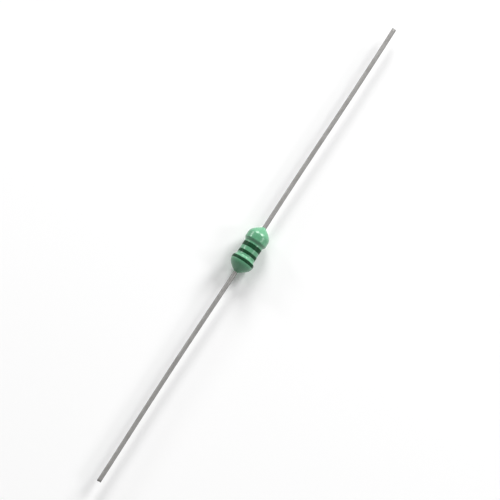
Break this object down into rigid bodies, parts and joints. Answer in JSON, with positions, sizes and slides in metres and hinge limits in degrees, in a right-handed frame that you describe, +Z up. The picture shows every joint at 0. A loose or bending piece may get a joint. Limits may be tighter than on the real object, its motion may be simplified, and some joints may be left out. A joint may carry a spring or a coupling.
{
  "type": "axial inductor",
  "caption": "Dog-bone axial inductor: a wound ferrite drum core in a green epoxy dip, with colour bands and a straight tinned lead from each end.",
  "frame": {"origin": "on the lead axis, midway between the two lead ends, which is the middle of the coated body", "axes": "+X along the leads, towards the end whose bulge is the slimmer one; +Z up as the part lies on a table"},
  "size_m": [0.062, 0.0028, 0.0028],
  "materials": {
    "green_epoxy": "glossy dipped epoxy",
    "ferrite": "ground sintered ferrite",
    "enamelled_copper": "clear enamel over copper",
    "tinned_wire": "dull tinned",
    "core_adhesive": "cured resin",
    "solder": "bright solder",
    "dark_ink": "printed ink"
  },
  "bodies": {
    "root": {"epoxy_coating": "green_epoxy", "drum_core": "ferrite", "winding": "enamelled_copper", "lead_left": "tinned_wire", "lead_right": "tinned_wire", "lead_adhesive_left": "core_adhesive", "lead_adhesive_right": "core_adhesive", "solder_joint_left": "solder", "solder_joint_right": "solder", "colour_band_1": "dark_ink", "colour_band_2": "dark_ink", "colour_band_3": "dark_ink"}
  },
  "joints": []
}
